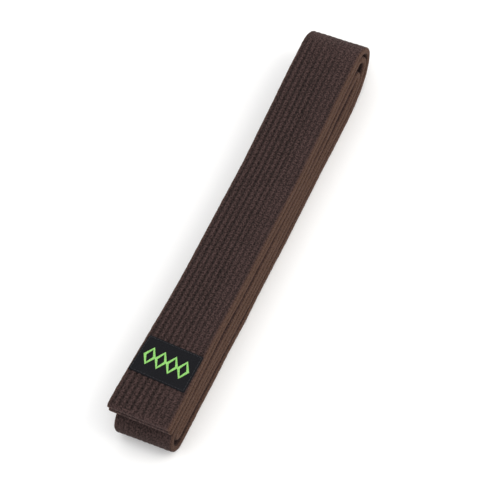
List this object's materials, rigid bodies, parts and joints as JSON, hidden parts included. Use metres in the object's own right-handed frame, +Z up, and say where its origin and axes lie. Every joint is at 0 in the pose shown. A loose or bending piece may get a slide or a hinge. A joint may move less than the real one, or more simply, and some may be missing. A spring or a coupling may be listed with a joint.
{
  "type": "martial arts belt",
  "caption": "Quilted cotton martial arts belt, folded into a flat stack, with a woven label near its free end, which lifts.",
  "frame": {"origin": "middle of the stack's footprint, on the surface it lies on", "axes": "+Y along the belt's runs, away from the free tips and the label; +Z up through the six runs; +X across the belt"},
  "size_m": [0.04, 0.3, 0.0309],
  "materials": {
    "cover_cloth": "dark brown cotton twill, matte, quilted in lengthwise channels",
    "core_cloth": "unbleached cotton drill, hidden inside the cover",
    "stitching_thread": "dark brown cotton thread, lockstitch",
    "label_weave": "near-black damask weave, slightly shiny",
    "label_hem_thread": "near-black thread",
    "motif_thread": "bright light-green rayon thread, satin"
  },
  "bodies": {
    "folded_belt": {"cover": "cover_cloth", "core_ply_1": "core_cloth", "core_ply_2": "core_cloth", "core_ply_3": "core_cloth", "needle_row_01": "stitching_thread", "bobbin_row_01": "stitching_thread", "needle_row_02": "stitching_thread", "bobbin_row_02": "stitching_thread", "needle_row_03": "stitching_thread", "bobbin_row_03": "stitching_thread", "needle_row_04": "stitching_thread", "bobbin_row_04": "stitching_thread", "needle_row_05": "stitching_thread", "bobbin_row_05": "stitching_thread", "needle_row_06": "stitching_thread", "bobbin_row_06": "stitching_thread", "needle_row_07": "stitching_thread", "bobbin_row_07": "stitching_thread", "needle_row_08": "stitching_thread", "bobbin_row_08": "stitching_thread", "needle_row_09": "stitching_thread", "bobbin_row_09": "stitching_thread", "needle_row_10": "stitching_thread", "bobbin_row_10": "stitching_thread"},
    "label_end": {"label_end_cover": "cover_cloth", "label_end_core_ply_1": "core_cloth", "label_end_core_ply_2": "core_cloth", "label_end_core_ply_3": "core_cloth", "label_end_needle_row_01": "stitching_thread", "label_end_bobbin_row_01": "stitching_thread", "label_end_needle_row_02": "stitching_thread", "label_end_bobbin_row_02": "stitching_thread", "label_end_needle_row_03": "stitching_thread", "label_end_bobbin_row_03": "stitching_thread", "label_end_needle_row_04": "stitching_thread", "label_end_bobbin_row_04": "stitching_thread", "label_end_needle_row_05": "stitching_thread", "label_end_bobbin_row_05": "stitching_thread", "label_end_needle_row_06": "stitching_thread", "label_end_bobbin_row_06": "stitching_thread", "label_end_needle_row_07": "stitching_thread", "label_end_bobbin_row_07": "stitching_thread", "label_end_needle_row_08": "stitching_thread", "label_end_bobbin_row_08": "stitching_thread", "label_end_needle_row_09": "stitching_thread", "label_end_bobbin_row_09": "stitching_thread", "label_end_needle_row_10": "stitching_thread", "label_end_bobbin_row_10": "stitching_thread", "label": "label_weave", "label_hem_thread": "label_hem_thread", "label_motif": "motif_thread"}
  },
  "joints": [
    {"name": "label_end_lift", "type": "hinge", "parent": "folded_belt", "child": "label_end", "pos_m": [0, -0.035, 0.03], "axis": [-1, 0, 0], "range_deg": [0, 75]}
  ]
}
